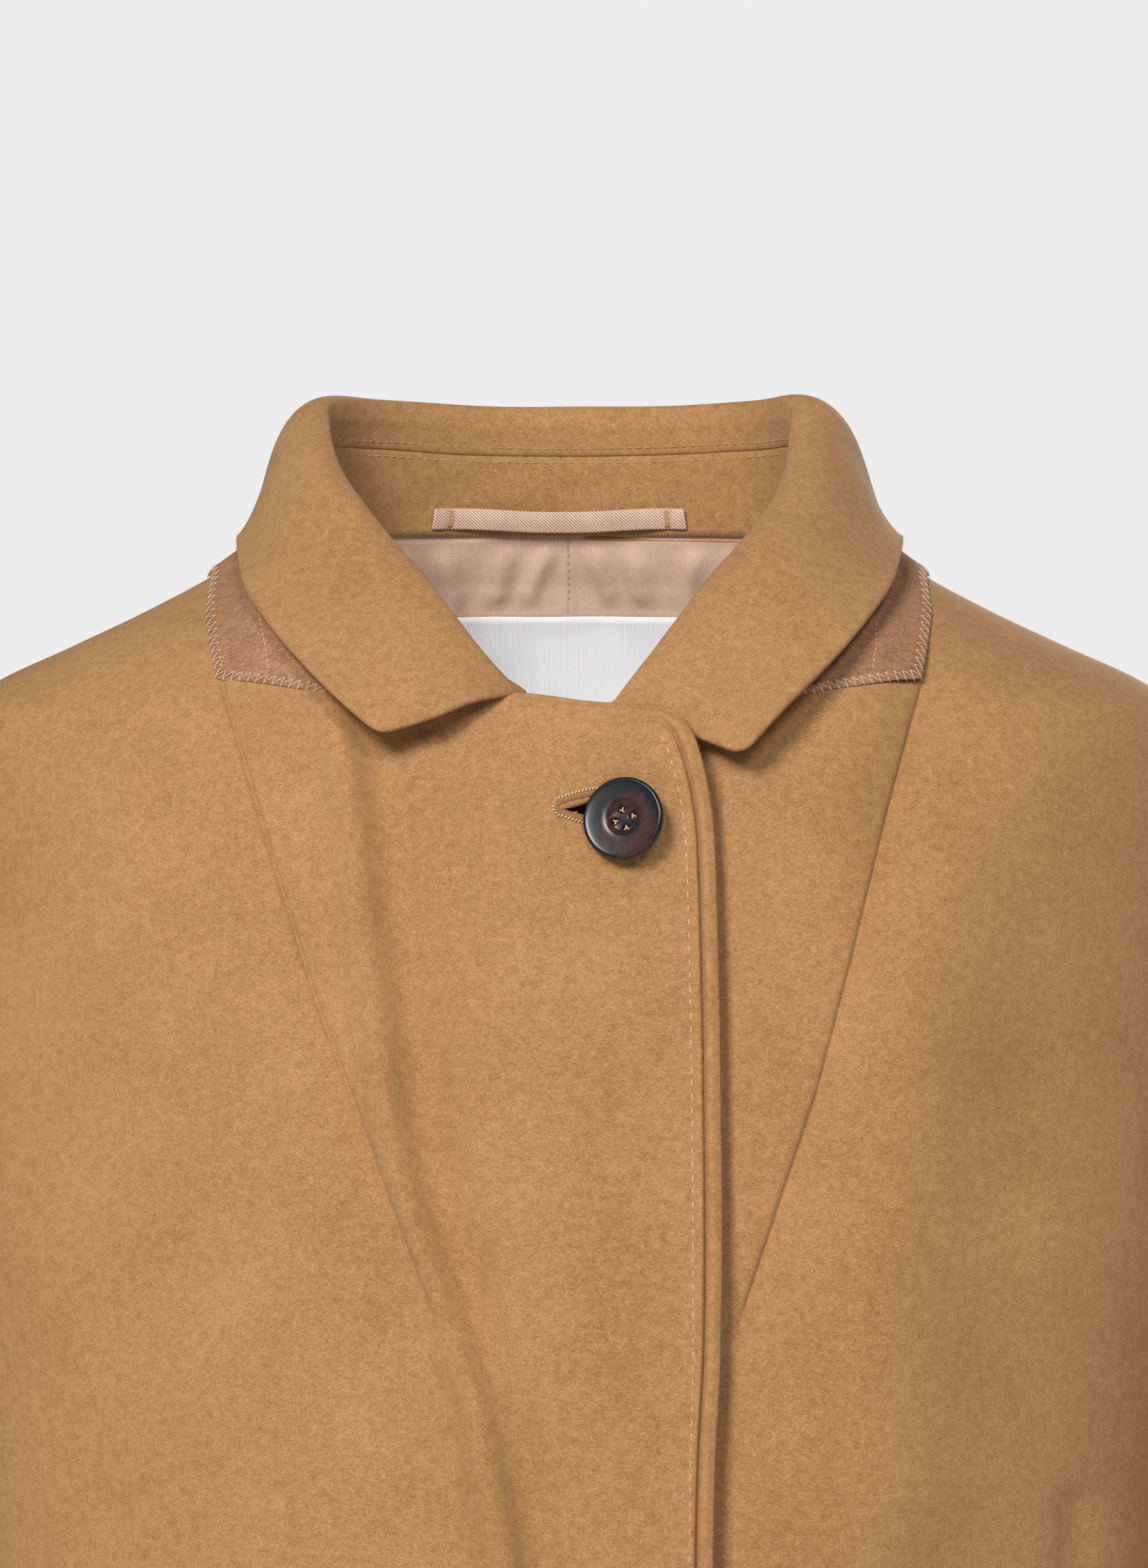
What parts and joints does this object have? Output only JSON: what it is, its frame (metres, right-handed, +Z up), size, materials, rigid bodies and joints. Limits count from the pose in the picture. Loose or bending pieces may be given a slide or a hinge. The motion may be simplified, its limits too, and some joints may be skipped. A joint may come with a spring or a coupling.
{
  "type": "coat",
  "caption": "Single-breasted camel wool coat as an empty worn form, with a turned-down collar, felt undercollar, long chest darts, hanger loop and a dark button.",
  "frame": {"origin": "middle of the neck at the height of the shoulders, where a hanger holds the coat", "axes": "+X to the viewer's right (the wearer's left), +Y from the front to the back, +Z up"},
  "size_m": [0.692, 0.3021, 1.0903],
  "materials": {
    "wool": "napped melton",
    "felt": "felt",
    "satin": "satin twill",
    "label": "ribbed weave",
    "horn": "polished"
  },
  "bodies": {
    "root": {"front_right": "wool", "front_left": "wool", "back": "wool", "sleeve_right": "wool", "sleeve_left": "wool", "collar": "wool", "collar_stand": "wool", "undercollar": "felt", "hanger_loop": "satin", "lining_back_right": "satin", "lining_back_left": "satin", "label": "label", "button": "horn"}
  },
  "joints": []
}
